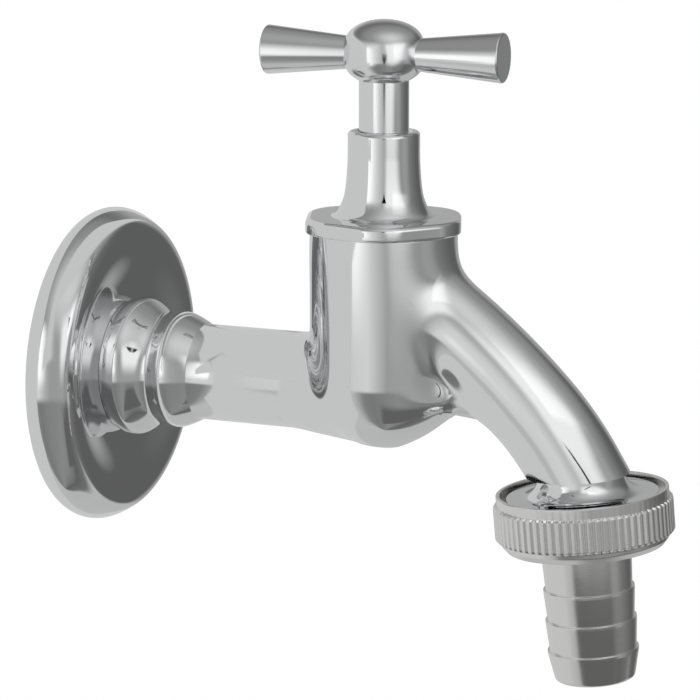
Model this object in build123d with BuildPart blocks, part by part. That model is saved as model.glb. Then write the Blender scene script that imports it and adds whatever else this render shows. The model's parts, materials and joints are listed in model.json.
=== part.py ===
from build123d import *
import os
from math import acos, atan2, cos, degrees, radians, sin

os.makedirs("parts", exist_ok=True)

# The origin is the centre of the inlet on the wall plane
# X runs from the wall along the inlet, Z runs up along the spindle, sizes are in millimetres

# Clearances
running_gap = 0.08
slip_gap = 0.3
seat_gap = 0.05

# Middle of a quarter round, as shares of its two sides
quarter_near = 0.29
quarter_far = 0.71

# Inlet tail and pipe
tail_thread_r = 10.48
tail_length = 10.0
tail_chamfer = 1.0
tail_relief = 0.23
inlet_bore_r = 6.5
pipe_r = 9.06

# Turned beads on the inlet
bead_1_r = 13.4
bead_1_back_r = 12.3
bead_1_crown = 3.1
bead_1_front = 6.1
bead_1_front_r = 11.8
cove_r = 10.45
cove_x = 14.9
bead_2_r = 11.05
bead_2_x = 17.9
bead_2_slope_r = 10.35
bead_2_slope_x = 20.4
pipe_start_x = 22.9
bead_start_fall = 0.5
bead_end_fall = -0.6

# Wall flange
flange_r = 30.1
flange_back_r = 29.3
flange_widest = 2.0
flange_shoulder = 5.6
flange_shoulder_r = 28.95
flange_shoulder_turn = 29.0
flange_front = 8.0
flange_crest_r = 24.3
flange_dish = 1.7
flange_flat_r = 14.5
flange_sheet = 1.0

# Barrel and bowl
spindle_x = 59.2
barrel_r = 13.6
barrel_top = 29.6
barrel_wall = 3.7
barrel_thread_wall = 3.07
bowl_centre_z = 2.1
bowl_wall = 3.2
bowl_fairing_length = 18.7
pipe_fillet = 2.4

# Seat
web_above_bore = 0.3
web_thickness = 2.0
seat_rise = 0.7
seat_rim = 1.6
seat_bore_r = 5.25

# Spout centre line and bore
spout_r = 8.65
spout_wall = 2.65
spout_start_x = 5.0
spout_start_z = 19.2
spout_slope = 35.8
spout_run = 6.8
spout_arc_1 = 11.0
spout_arc_1_length = 25.6
spout_arc_2 = 12.6
spout_arc_2_length = 13.8
spout_overrun = 9.0
spout_fillet = 3.0

# Outlet, measured along its own axis from the top of the nut
outlet_tilt = 5.2
lip_s = -2.9
lip_run = 0.2
lip_shift = 0.55
neck_r = 7.9
neck_root = 1.5
neck_flare_r = 11.6
shoulder_r = 14.6
shoulder_s = 0.7
shoulder_thickness = 0.9
outlet_thread_r = 13.22
outlet_end_s = 5.8
outlet_bore_r = 6.6
thread_chamfer = 0.6

# Union nut
nut_rim_gap = 0.41
nut_rim_wall = 0.75
nut_rim_relief = 0.4
knurl_rise = 0.64
knurl_top_s = 1.9
knurl_bottom_s = 8.2
knurl_count = 60
knurl_groove = 0.566
knurl_chamfer = 0.35
nut_waist_in = 0.46
nut_waist_s = 9.2
nut_foot_in = 1.36
nut_length = 10.3
nut_floor = 1.5

# Hose tail
head_thickness = 1.5
tail_neck_r = 8.2
tail_neck_end_s = 12.4
tail_waist_r = 7.95
barb_rise = 0.41
barb_land = 0.5
barb_1_s = 18.1
barb_pitch = 5.76
barb_count = 3
tail_tip_length = 5.63
tail_end_r = 7.3
tail_round = 0.7
tail_bore_r = 6.1
washer_bore_r = 7.0

# Bonnet
hex_flats = 28.4
hex_corner_r = 8.0
hex_height = 2.75
hex_edge = 0.7
hex_turn = 50.0
neck_foot_r = 10.0
neck_low_r = 8.1
neck_low_rise = 1.5
neck_mid_r = 7.4
neck_mid_rise = 3.2
neck_high_r = 6.87
neck_high_rise = 6.5
neck_top_r = 6.6
neck_height = 15.55
neck_edge = 0.7
skirt_clearance = 0.27
nose_thread_length = 5.6
nose_wall = 2.62
nose_length = 10.6
gasket_lip = 1.12
gasket_thickness = 1.2

# Spindle and valve
valve_lift = 4.5
disc_thickness = 2.0
disc_r = 7.0
rubber_thickness = 1.7
rubber_r = 6.7
stud_r = 1.5
stud_proud = 0.2
screw_nut_flats = 5.5
screw_nut_height = 1.8
jumper_stem_r = 2.5
jumper_stem_length = 5.0
spindle_thread_r = 4.9
spindle_thread_depth = 3.4
thread_runout = 0.5
stem_r = 3.92
shank_r = 3.4
square_flats = 5.2
square_chamfer = 0.4
oring_section_r = 0.66
oring_squeeze_gap = 0.02
oring_groove_slack = 0.1
oring_inset = 1.4
oring_spacing = 2.6

# Handle
ball_r = 7.4
ball_height = 13.0
ball_widest_low = 0.3
ball_widest_high = 2.65
ball_dome = 4.6
ball_under = 4.35
ball_shoulder = 3.2
skirt_r = 4.58
shank_drop = 4.9
square_rise = 3.1
arm_rise = 1.05
arm_turn = 2.4
arm_root = 5.9
arm_root_r = 2.9
arm_end = 22.7
arm_end_r = 4.55
arm_edge = 0.35
arm_stub_r = 1.9
arm_stub_length = 1.6
grub_r = 2.0
grub_socket_flats = 2.0
grub_socket_depth = 2.0
grub_recess = 0.7

# Inlet, flange and barrel, worked out from the sizes above
flange_face = flange_front - flange_dish
flange_hole_r = tail_thread_r + running_gap
bead_1_x = flange_face + seat_gap
barrel_bottom = bowl_centre_z - barrel_r
bowl_fairing_x = spindle_x - bowl_fairing_length
chamber_r = barrel_r - barrel_wall
lower_chamber_r = barrel_r - bowl_wall
web_bottom = inlet_bore_r + web_above_bore
web_top = web_bottom + web_thickness
seat_top = web_top + seat_rise

# Bonnet, from the top of the barrel
nose_thread_bottom = barrel_top - nose_thread_length
nose_bottom = barrel_top - nose_length
chamber_top = nose_thread_bottom - thread_chamfer
bonnet_bore_r = barrel_r - barrel_thread_wall
nose_thread_r = bonnet_bore_r - seat_gap
gasket_recess_r = barrel_r - gasket_lip
spindle_bore_r = spindle_thread_r + running_gap
nose_r = spindle_bore_r + nose_wall
seal_bore_r = stem_r + running_gap
skirt_bore_r = skirt_r + skirt_clearance
hex_top = barrel_top + hex_height
neck_top_z = hex_top + neck_height

# Spindle and valve, from the seat upwards
rubber_bottom = seat_top + seat_gap
disc_bottom = rubber_bottom + rubber_thickness
disc_top = disc_bottom + disc_thickness
spindle_foot = disc_top + seat_gap
spindle_thread_top = barrel_top - spindle_thread_depth
thread_bore_top = spindle_thread_top + valve_lift + thread_runout
oring_r = seal_bore_r - oring_squeeze_gap - oring_section_r
groove_floor_r = oring_r - oring_section_r - oring_squeeze_gap
groove_half = oring_section_r + oring_groove_slack
oring_lower_z = thread_bore_top + oring_inset
oring_upper_z = oring_lower_z + oring_spacing
seal_bore_top = oring_upper_z + valve_lift + 2 * oring_section_r
stem_top = seal_bore_top + slip_gap

# Handle, from the top of the neck
ball_z = neck_top_z + ball_height
dome_z = ball_z + ball_widest_high
under_z = ball_z - ball_widest_low
dome_crown = (ball_r**2 - 2 * ball_r * ball_shoulder + ball_dome**2) / (2 * (ball_dome - ball_shoulder))
dome_meet = degrees(atan2(dome_crown - ball_dome, ball_r - ball_shoulder))
under_crown = (ball_r**2 - 2 * ball_r * ball_shoulder + ball_under**2) / (2 * (ball_under - ball_shoulder))
under_meet = degrees(atan2(under_crown - ball_under, ball_r - ball_shoulder))
under_end = degrees(acos(skirt_r / under_crown))
skirt_top = under_z - ball_under + under_crown - under_crown * sin(radians(under_end))
shank_top = ball_z - shank_drop
square_top = ball_z + square_rise
arm_z = ball_z + arm_rise
arm_stub_root = arm_root - arm_stub_length
arm_taper = (arm_end_r - arm_root_r) / (arm_end - arm_edge - arm_root)
spot_face_r = arm_root_r + arm_taper * (ball_r - arm_root) + seat_gap
grub_end = ball_r - grub_recess

# Union, along the outlet
nut_rim_bore_r = shoulder_r + nut_rim_gap
nut_rim_depth = shoulder_s + shoulder_thickness + nut_rim_relief
nut_r = nut_rim_bore_r + nut_rim_wall
knurl_r = nut_r + knurl_rise
nut_thread_r = outlet_thread_r + running_gap
nut_hole_r = tail_neck_r + slip_gap
nut_floor_s = nut_length - nut_floor
head_s = nut_floor_s - head_thickness - seat_gap
head_r = outlet_thread_r - slip_gap
tail_end_s = barb_1_s + (barb_count - 1) * barb_pitch + tail_tip_length


def heading(slope):
    """Unit direction in the XZ plane that falls by a slope in degrees."""
    return cos(radians(slope)), -sin(radians(slope))


def between(start, end, share_first, share_second):
    """Point at its own share of the way from start to end in each direction."""
    return (
        start[0] + share_first * (end[0] - start[0]),
        start[1] + share_second * (end[1] - start[1]),
    )


# Spout centre line, drawn in the plane of the inlet and the spindle
with BuildLine(Plane.XZ) as spout_path:
    start = Line(
        (spindle_x + spout_start_x, spout_start_z),
        (
            spindle_x + spout_start_x + spout_run * heading(spout_slope)[0],
            spout_start_z + spout_run * heading(spout_slope)[1],
        ),
    )
    bend_1 = JernArc(
        start=start @ 1,
        tangent=start % 1,
        radius=spout_arc_1_length / radians(spout_arc_1),
        arc_size=-spout_arc_1,
    )
    bend_2 = JernArc(
        start=bend_1 @ 1,
        tangent=bend_1 % 1,
        radius=spout_arc_2_length / radians(spout_arc_2),
        arc_size=-spout_arc_2,
    )
    Line(bend_2 @ 1, bend_2 @ 1 + spout_overrun * (bend_2 % 1))

# Planes and axes
spindle_axis = Axis((spindle_x, 0, 0), (0, 0, 1))
spindle_side = Plane(origin=(spindle_x, 0, 0), x_dir=(1, 0, 0), z_dir=(0, -1, 0))
spout_mouth_plane = Plane(origin=spout_path.line @ 0, z_dir=spout_path.line % 0, x_dir=(0, 1, 0))
outlet_down = Vector(sin(radians(outlet_tilt)), 0, -cos(radians(outlet_tilt)))
outlet_across = Vector(cos(radians(outlet_tilt)), 0, sin(radians(outlet_tilt)))
lip_centre = bend_2 @ 1 + lip_run * (bend_2 % 1) + lip_shift * outlet_across
lip_plane = Plane(origin=lip_centre, z_dir=outlet_down)
outlet_plane = Plane(origin=lip_centre - lip_s * outlet_down, x_dir=(0, 1, 0), z_dir=outlet_down)
outlet_side = Plane(origin=outlet_plane.origin, x_dir=outlet_across, z_dir=(0, 1, 0))
outlet_axis = Axis(outlet_plane.origin, outlet_down)
arm_forward = Vector(cos(radians(arm_turn)), sin(radians(arm_turn)), 0)
grub_plane = Plane(
    origin=(spindle_x, 0, arm_z), x_dir=(0, 0, 1), z_dir=(-arm_forward.Y, arm_forward.X, 0)
)

# Outside of the spout, cut off square to the outlet at its lip
with BuildPart() as spout_bar:
    with BuildSketch(spout_mouth_plane):
        Circle(spout_r)
    sweep(path=spout_path.line)
    split(bisect_by=lip_plane, keep=Keep.BOTTOM)

# Waterway of the spout
with BuildPart() as spout_waterway:
    with BuildSketch(spout_mouth_plane):
        Circle(spout_r - spout_wall)
    sweep(path=spout_path.line)
    split(bisect_by=lip_plane, keep=Keep.BOTTOM)

# Body casting
with BuildPart() as body_casting:
    # Threaded tail, two beads and the pipe
    with BuildSketch(Plane.XZ):
        with BuildLine():
            Polyline(
                (bowl_fairing_x, 0),
                (-tail_length, 0),
                (-tail_length, tail_thread_r - tail_chamfer),
                (-tail_length + tail_chamfer, tail_thread_r),
                (0, tail_thread_r),
                (0, tail_thread_r - tail_relief),
                (bead_1_x, tail_thread_r - tail_relief),
                (bead_1_x, bead_1_back_r),
            )
            Spline(
                (bead_1_x, bead_1_back_r),
                (bead_1_x + bead_1_crown, bead_1_r),
                (bead_1_x + bead_1_front, bead_1_front_r),
                (cove_x, cove_r),
                (bead_2_x, bead_2_r),
                (bead_2_slope_x, bead_2_slope_r),
                (pipe_start_x, pipe_r),
                tangents=((1, bead_start_fall), (1, bead_end_fall)),
            )
            Polyline((pipe_start_x, pipe_r), (bowl_fairing_x, pipe_r), (bowl_fairing_x, 0))
        make_face()
    revolve(axis=Axis.X)
    # Fairing that leads the underside of the pipe down to the bowl
    with BuildSketch(Plane.YZ.offset(bowl_fairing_x)):
        Circle(pipe_r)
    with BuildSketch(Plane.YZ.offset(spindle_x)):
        with Locations((0, (pipe_r + barrel_bottom) / 2)):
            Circle((pipe_r - barrel_bottom) / 2)
    loft()
    # Barrel with a round bowl below
    with BuildSketch(spindle_side):
        with BuildLine():
            Polyline((0, barrel_bottom), (0, barrel_top), (barrel_r, barrel_top), (barrel_r, bowl_centre_z))
            CenterArc((0, bowl_centre_z), barrel_r, -90, 90)
        make_face()
    revolve(axis=spindle_axis)
    pipe_joint = edges(Select.NEW).filter_by(GeomType.CIRCLE, reverse=True)
    pipe_joint = pipe_joint.filter_by(lambda e: e.center().X < spindle_x and e.center().Z > -pipe_r)
    fillet(pipe_joint, pipe_fillet)
    add(spout_bar.part)
    spout_joint = edges(Select.NEW).filter_by(GeomType.CIRCLE, reverse=True)
    spout_joint = spout_joint.filter_by(
        lambda e: spindle_x < e.center().X < spindle_x + barrel_r + spout_r
    )
    fillet(spout_joint, spout_fillet)
    # Neck, shoulder and thread of the outlet
    with BuildSketch(outlet_side):
        with BuildLine():
            ThreePointArc(
                (neck_r, lip_s),
                between((neck_r, lip_s), (neck_flare_r, shoulder_s), quarter_near, quarter_far),
                (neck_flare_r, shoulder_s),
            )
            Polyline(
                (neck_flare_r, shoulder_s),
                (shoulder_r, shoulder_s),
                (shoulder_r, shoulder_s + shoulder_thickness),
                (outlet_thread_r, shoulder_s + shoulder_thickness),
                (outlet_thread_r, outlet_end_s - thread_chamfer),
                (outlet_thread_r - thread_chamfer, outlet_end_s),
                (0, outlet_end_s),
                (0, lip_s - neck_root),
                (neck_r, lip_s - neck_root),
                (neck_r, lip_s),
            )
        make_face()
    revolve(axis=outlet_axis)
    # Valve chamber, seat and the chamber below it
    with BuildSketch(spindle_side):
        with BuildLine():
            Polyline(
                (0, bowl_centre_z - lower_chamber_r),
                (0, barrel_top),
                (gasket_recess_r, barrel_top),
                (gasket_recess_r, barrel_top - gasket_thickness),
                (bonnet_bore_r, barrel_top - gasket_thickness),
                (bonnet_bore_r, chamber_top),
                (chamber_r, chamber_top),
                (chamber_r, web_top),
                (seat_bore_r + seat_rim, web_top),
                (seat_bore_r + seat_rim, seat_top),
                (seat_bore_r, seat_top),
                (seat_bore_r, web_bottom),
                (lower_chamber_r, web_bottom),
                (lower_chamber_r, bowl_centre_z),
            )
            CenterArc((0, bowl_centre_z), lower_chamber_r, -90, 90)
        make_face()
    revolve(axis=spindle_axis, mode=Mode.SUBTRACT)
    # Waterways of the inlet, the spout and the outlet
    with BuildSketch(Plane.YZ.offset(-tail_length)):
        Circle(inlet_bore_r)
    extrude(amount=tail_length + spindle_x - seat_bore_r, mode=Mode.SUBTRACT)
    add(spout_waterway.part, mode=Mode.SUBTRACT)
    with BuildSketch(outlet_plane.offset(lip_s)):
        Circle(outlet_bore_r)
    extrude(amount=outlet_end_s - lip_s, mode=Mode.SUBTRACT)

# Wall flange, a pressed sheet that slides over the tail up to the first bead
with BuildPart() as wall_flange:
    for inset, mode in ((0, Mode.ADD), (flange_sheet, Mode.SUBTRACT)):
        with BuildSketch(Plane.XZ):
            with BuildLine():
                shoulder = (
                    flange_shoulder - sin(radians(flange_shoulder_turn)) * inset,
                    flange_shoulder_r - cos(radians(flange_shoulder_turn)) * inset,
                )
                crest = (flange_front - inset, flange_crest_r)
                Spline(
                    (0, flange_back_r - inset),
                    (flange_widest, flange_r - inset),
                    shoulder,
                    between(shoulder, crest, quarter_far, quarter_near),
                    crest,
                    tangents=((1, 1), (0, -1)),
                )
                Spline(
                    crest,
                    (flange_face - inset, flange_flat_r),
                    tangents=((0, -1), (0, -1)),
                )
                Polyline(
                    (flange_face - inset, flange_flat_r),
                    (flange_face - inset, 0),
                    (0, 0),
                    (0, flange_back_r - inset),
                )
            make_face()
        revolve(axis=Axis.X, mode=mode)
    with BuildSketch(Plane.YZ):
        Circle(flange_hole_r)
    extrude(amount=flange_front, mode=Mode.SUBTRACT)

# Bonnet with its hexagon, threaded nose and turned neck
with BuildPart() as bonnet:
    with BuildSketch(Plane.XY.offset(barrel_top)):
        with Locations((spindle_x, 0)):
            RegularPolygon(hex_flats / 2, 6, major_radius=False, rotation=hex_turn)
            fillet(vertices(), hex_corner_r)
    extrude(amount=hex_height)
    fillet(edges().group_by(Axis.Z)[-1], hex_edge)
    with BuildSketch(spindle_side):
        with BuildLine():
            neck = Spline(
                (neck_foot_r, hex_top),
                (neck_low_r, hex_top + neck_low_rise),
                (neck_mid_r, hex_top + neck_mid_rise),
                (neck_high_r, hex_top + neck_high_rise),
                (neck_top_r, neck_top_z - neck_edge),
                tangents=((-1, 0.15), (0, 1)),
            )
            rim = TangentArc(neck @ 1, (neck_top_r - neck_edge, neck_top_z), tangent=(0, 1))
            Polyline(
                rim @ 1,
                (0, neck_top_z),
                (0, nose_bottom),
                (nose_r, nose_bottom),
                (nose_r, nose_thread_bottom),
                (nose_thread_r - thread_chamfer, nose_thread_bottom),
                (nose_thread_r, nose_thread_bottom + thread_chamfer),
                (nose_thread_r, hex_top),
                (neck_foot_r, hex_top),
            )
        make_face()
    revolve(axis=spindle_axis)
    with BuildSketch(spindle_side):
        Polygon(
            (0, nose_bottom),
            (spindle_bore_r, nose_bottom),
            (spindle_bore_r, thread_bore_top),
            (seal_bore_r, thread_bore_top),
            (seal_bore_r, seal_bore_top),
            (skirt_bore_r, seal_bore_top),
            (skirt_bore_r, neck_top_z),
            (0, neck_top_z),
            align=None,
        )
    revolve(axis=spindle_axis, mode=Mode.SUBTRACT)

# Gasket in the recess under the hexagon
with BuildPart() as bonnet_gasket:
    with BuildSketch(Plane.XY.offset(barrel_top - gasket_thickness)):
        with Locations((spindle_x, 0)):
            Circle(gasket_recess_r - seat_gap)
            Circle(nose_thread_r + seat_gap, mode=Mode.SUBTRACT)
    extrude(amount=gasket_thickness)

# Rising spindle
with BuildPart() as spindle:
    with BuildSketch(spindle_side):
        Polygon(
            (0, spindle_foot),
            (spindle_thread_r, spindle_foot),
            (spindle_thread_r, spindle_thread_top),
            (stem_r, spindle_thread_top),
            (stem_r, stem_top),
            (shank_r, stem_top),
            (shank_r, shank_top),
            (0, shank_top),
            align=None,
        )
    revolve(axis=spindle_axis)
    with BuildSketch(Plane.XY.offset(shank_top)):
        with Locations(Location((spindle_x, 0, 0), (0, 0, arm_turn))):
            Rectangle(square_flats, square_flats)
    extrude(amount=square_top - shank_top)
    chamfer(edges().group_by(Axis.Z)[-1], square_chamfer)
    for ring_z in (oring_lower_z, oring_upper_z):
        with BuildSketch(Plane.XY.offset(ring_z - groove_half)):
            with Locations((spindle_x, 0)):
                Circle(stem_r)
                Circle(groove_floor_r, mode=Mode.SUBTRACT)
        extrude(amount=2 * groove_half, mode=Mode.SUBTRACT)
    with BuildSketch(Plane.XY.offset(spindle_foot)):
        with Locations((spindle_x, 0)):
            Circle(jumper_stem_r + running_gap)
    extrude(amount=jumper_stem_length + slip_gap, mode=Mode.SUBTRACT)

# Stem seals
orings = {}
for ring_name, ring_z in (("spindle_oring_lower", oring_lower_z), ("spindle_oring_upper", oring_upper_z)):
    with BuildPart() as oring:
        with BuildSketch(spindle_side):
            with Locations((oring_r, ring_z)):
                Circle(oring_section_r)
        revolve(axis=spindle_axis)
    orings[ring_name] = oring.part

# Jumper disc with its stem above and its stud below
with BuildPart() as valve_disc:
    with BuildSketch(spindle_side):
        Polygon(
            (0, rubber_bottom - screw_nut_height - stud_proud),
            (stud_r, rubber_bottom - screw_nut_height - stud_proud),
            (stud_r, disc_bottom),
            (disc_r, disc_bottom),
            (disc_r, disc_top),
            (jumper_stem_r, disc_top),
            (jumper_stem_r, disc_top + jumper_stem_length),
            (0, disc_top + jumper_stem_length),
            align=None,
        )
    revolve(axis=spindle_axis)

# Rubber face of the valve
with BuildPart() as valve_washer:
    with BuildSketch(Plane.XY.offset(rubber_bottom)):
        with Locations((spindle_x, 0)):
            Circle(rubber_r)
            Circle(stud_r + seat_gap, mode=Mode.SUBTRACT)
    extrude(amount=rubber_thickness)

# Nut that holds the rubber on the stud
with BuildPart() as washer_screw_nut:
    with BuildSketch(Plane.XY.offset(rubber_bottom - screw_nut_height)):
        with Locations((spindle_x, 0)):
            RegularPolygon(screw_nut_flats / 2, 6, major_radius=False)
            Circle(stud_r + seat_gap, mode=Mode.SUBTRACT)
    extrude(amount=screw_nut_height)

# Tapered arms of the handle, each with a stub that screws into the ball
arms = {}
for arm_name, arm_out in (("handle_arm_right", arm_forward), ("handle_arm_left", -arm_forward)):
    arm_side = Plane(origin=(spindle_x, 0, arm_z), x_dir=arm_out, z_dir=(arm_out.Y, -arm_out.X, 0))
    with BuildPart() as arm:
        with BuildSketch(arm_side):
            with BuildLine():
                Polyline(
                    (arm_stub_root, 0),
                    (arm_stub_root, arm_stub_r),
                    (arm_root, arm_stub_r),
                    (arm_root, arm_root_r),
                    (arm_end - arm_edge, arm_end_r),
                )
                ThreePointArc(
                    (arm_end - arm_edge, arm_end_r),
                    (arm_end - quarter_near * arm_edge, arm_end_r - quarter_near * arm_edge),
                    (arm_end, arm_end_r - arm_edge),
                )
                Polyline((arm_end, arm_end_r - arm_edge), (arm_end, 0), (arm_stub_root, 0))
            make_face()
        revolve(axis=Axis((spindle_x, 0, arm_z), arm_out))
    arms[arm_name] = arm.part

# Ball and skirt of the handle
with BuildPart() as handle_hub:
    with BuildSketch(spindle_side):
        with BuildLine():
            CenterArc(
                (0, under_z - ball_under + under_crown), under_crown, -under_end, under_end - under_meet
            )
            CenterArc((ball_r - ball_shoulder, under_z), ball_shoulder, -under_meet, under_meet)
            CenterArc((ball_r - ball_shoulder, dome_z), ball_shoulder, 0, dome_meet)
            CenterArc((0, dome_z + ball_dome - dome_crown), dome_crown, dome_meet, 90 - dome_meet)
            Line((ball_r, under_z), (ball_r, dome_z))
            Polyline((0, dome_z + ball_dome), (0, stem_top), (skirt_r, stem_top), (skirt_r, skirt_top))
        make_face()
    revolve(axis=spindle_axis)
    with BuildSketch(Plane.XY.offset(stem_top)):
        with Locations((spindle_x, 0)):
            Circle(shank_r + seat_gap)
    extrude(amount=shank_top - stem_top + seat_gap, mode=Mode.SUBTRACT)
    with BuildSketch(Plane.XY.offset(shank_top)):
        with Locations(Location((spindle_x, 0, 0), (0, 0, arm_turn))):
            Rectangle(square_flats + 2 * seat_gap, square_flats + 2 * seat_gap)
    extrude(amount=square_top - shank_top + slip_gap, mode=Mode.SUBTRACT)
    for arm_out in (arm_forward, -arm_forward):
        arm_base = Plane(origin=(spindle_x, 0, arm_z), z_dir=arm_out)
        with BuildSketch(arm_base.offset(arm_stub_root - seat_gap)):
            Circle(arm_stub_r + seat_gap)
        extrude(amount=ball_r, mode=Mode.SUBTRACT)
        with BuildSketch(arm_base.offset(arm_root)):
            Circle(spot_face_r)
        extrude(amount=ball_r, mode=Mode.SUBTRACT)
    with BuildSketch(grub_plane):
        Circle(grub_r + seat_gap)
    extrude(amount=ball_r, mode=Mode.SUBTRACT)

# Grub screw at the back of the ball
with BuildPart() as handle_grub_screw:
    with BuildSketch(grub_plane.offset(square_flats / 2)):
        Circle(grub_r)
    extrude(amount=grub_end - square_flats / 2)
    with BuildSketch(grub_plane.offset(grub_end)):
        RegularPolygon(grub_socket_flats / 2, 6, major_radius=False)
    extrude(amount=-grub_socket_depth, mode=Mode.SUBTRACT)

# Knurled union nut
with BuildPart() as union_nut:
    with BuildSketch(outlet_side):
        Polygon(
            (nut_rim_bore_r, 0),
            (nut_r, 0),
            (nut_r, knurl_top_s),
            (knurl_r - knurl_chamfer, knurl_top_s),
            (knurl_r, knurl_top_s + knurl_chamfer),
            (knurl_r, knurl_bottom_s - knurl_chamfer),
            (knurl_r - knurl_chamfer, knurl_bottom_s),
            (nut_r - nut_waist_in, nut_waist_s),
            (nut_r - nut_foot_in, nut_length),
            (nut_hole_r, nut_length),
            (nut_hole_r, nut_floor_s),
            (nut_thread_r, nut_floor_s),
            (nut_thread_r, nut_rim_depth),
            (nut_rim_bore_r, nut_rim_depth),
            align=None,
        )
    revolve(axis=outlet_axis)
    with BuildSketch(outlet_plane.offset(knurl_top_s)):
        with PolarLocations(knurl_r, knurl_count):
            Rectangle(knurl_groove, knurl_groove, rotation=45)
    extrude(amount=knurl_bottom_s - knurl_top_s, mode=Mode.SUBTRACT)

# Hose tail with its head inside the nut
barb_profile = []
for k in range(barb_count):
    barb_s = barb_1_s + k * barb_pitch
    barb_r = tail_waist_r + barb_rise
    barb_profile += [(tail_waist_r, barb_s), (barb_r, barb_s), (barb_r, barb_s + barb_land)]
with BuildPart() as hose_tail:
    with BuildSketch(outlet_side):
        Polygon(
            (tail_bore_r, head_s),
            (head_r, head_s),
            (head_r, head_s + head_thickness),
            (tail_neck_r, head_s + head_thickness),
            (tail_neck_r, tail_neck_end_s),
            *barb_profile,
            (tail_end_r, tail_end_s - tail_round),
            (tail_end_r - tail_round, tail_end_s),
            (tail_bore_r, tail_end_s),
            align=None,
        )
    revolve(axis=outlet_axis)

# Flat ring between the outlet and the tail
with BuildPart() as union_washer:
    with BuildSketch(outlet_plane.offset(outlet_end_s + seat_gap)):
        Circle(head_r)
        Circle(washer_bore_r, mode=Mode.SUBTRACT)
    extrude(amount=head_s - outlet_end_s - seat_gap)

pieces = {
    "body_casting": body_casting.part,
    "wall_flange": wall_flange.part,
    "bonnet": bonnet.part,
    "bonnet_gasket": bonnet_gasket.part,
    "spindle": spindle.part,
    **orings,
    "valve_disc": valve_disc.part,
    "valve_washer": valve_washer.part,
    "washer_screw_nut": washer_screw_nut.part,
    "handle_hub": handle_hub.part,
    **arms,
    "handle_grub_screw": handle_grub_screw.part,
    "union_nut": union_nut.part,
    "hose_tail": hose_tail.part,
    "union_washer": union_washer.part,
}
for name, piece in pieces.items():
    piece.label = name
    export_step(piece, f"parts/{name}.step")
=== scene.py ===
"""Looks of the wall-mounted drain cock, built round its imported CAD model."""

import json
from math import acos, atan2, cos, pi, radians, sin, sqrt, tan, tau

import bmesh
import bpy
import numpy as np
from mathutils import Matrix, Vector


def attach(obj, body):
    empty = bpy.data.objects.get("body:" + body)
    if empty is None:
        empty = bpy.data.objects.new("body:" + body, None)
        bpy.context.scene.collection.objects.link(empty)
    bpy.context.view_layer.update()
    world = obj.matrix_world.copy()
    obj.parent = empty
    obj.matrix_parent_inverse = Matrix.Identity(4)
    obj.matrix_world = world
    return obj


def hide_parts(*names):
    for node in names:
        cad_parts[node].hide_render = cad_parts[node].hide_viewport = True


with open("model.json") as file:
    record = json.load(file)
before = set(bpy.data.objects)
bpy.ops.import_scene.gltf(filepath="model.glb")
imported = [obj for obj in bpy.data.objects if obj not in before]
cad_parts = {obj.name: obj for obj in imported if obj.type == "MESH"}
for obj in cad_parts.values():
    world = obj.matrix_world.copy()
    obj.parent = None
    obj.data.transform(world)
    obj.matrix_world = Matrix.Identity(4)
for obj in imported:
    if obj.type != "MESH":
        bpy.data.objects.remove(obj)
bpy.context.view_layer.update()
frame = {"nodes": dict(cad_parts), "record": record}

# Lengths are written in millimetres and become metres when a piece is finished
MM = 0.001

# Steps of a full turn, and how near a rounding the flat beside it is held
FULL_TURN_STEPS = 192
HOLD = 0.07

# Inlet tail, beads and pipe, along X from the wall plane
TAIL_LENGTH = 10.0
TAIL_THREAD_R = 10.48
TAIL_SHANK_R = 10.25
THREAD_PITCH = 1.814
THREAD_DEPTH = 1.1
INLET_BORE_R = 6.5
INLET_BORE_END = 48.0
BEAD_BACK = 6.35
PIPE_R = 9.06
PIPE_SEAM = 30.0
FAIRING_START = 42.0
FAIRING_DROP = 1.0

# Barrel, round the spindle
SPINDLE_X = 59.2
BARREL_R = 13.6
BARREL_TOP = 29.6
BARREL_SEAM = 28.0
BOWL_Z = 2.55
BONNET_BORE_R = 10.53
CHAMBER_R = 9.9
CHAMBER_TOP = 23.4
WEB_TOP = 8.8
SEAT_TOP = 9.5
SEAT_RIM_R = 6.85
SEAT_BORE_R = 5.25

# Hexagon of the bonnet
HEX_FLATS = 28.4
HEX_CORNER_R = 8.0
HEX_TURN = 50.0
HEX_TOP = 32.35
HEX_EDGES = (0.45, 0.9)

# Spout centre line
SPOUT_START = (64.2, 19.2)
SPOUT_SLOPE = 35.8
SPOUT_RUN = 6.8
SPOUT_BENDS = ((25.6, 11.0), (13.8, 12.6))
SPOUT_START_R = 8.1
SPOUT_END_R = 8.6
SPOUT_SPARE = 9.0
SPOUT_FILLET = 5.6
CROTCH_FILLET = 18.0
CROTCH_Z = (-3.0, 5.0)

# Outlet and union, along the outlet axis from the top of the nut
OUTLET = (98.1, -15.672)
OUTLET_TILT = 5.2
LIP_S = -2.9
NECK_R = 7.9

# Nut
NUT_RIM_R = 15.76
NUT_RIM_BORE_R = 15.01
KNURL_R = 16.4
KNURL_ENDS = (1.9, 8.2)
KNURL_FOOT_R = 15.7
KNURL_DEPTH = 0.42
KNURLS = 71
KNURL_STEPS = 8
NUT_HOLE_R = 8.5
NUT_THREAD_R = 13.3

# Hose tail
TAIL_BORE_R = 6.1
TAIL_HEAD_R = 12.92
BARB_R = 8.36
BARB_FOOT_R = 7.95
BARB_START = 18.1
BARB_PITCH = 5.76
BARBS = 3

# Handle
BALL_R = 7.4
BALL_Z = 62.07
DOME_HEIGHT = 6.08
UNDER_HEIGHT = 5.82
BALL_FULLNESS = 2.9
SKIRT_R = 4.58
ARM_Z = 61.95
ARM_TURN = 2.4

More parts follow.
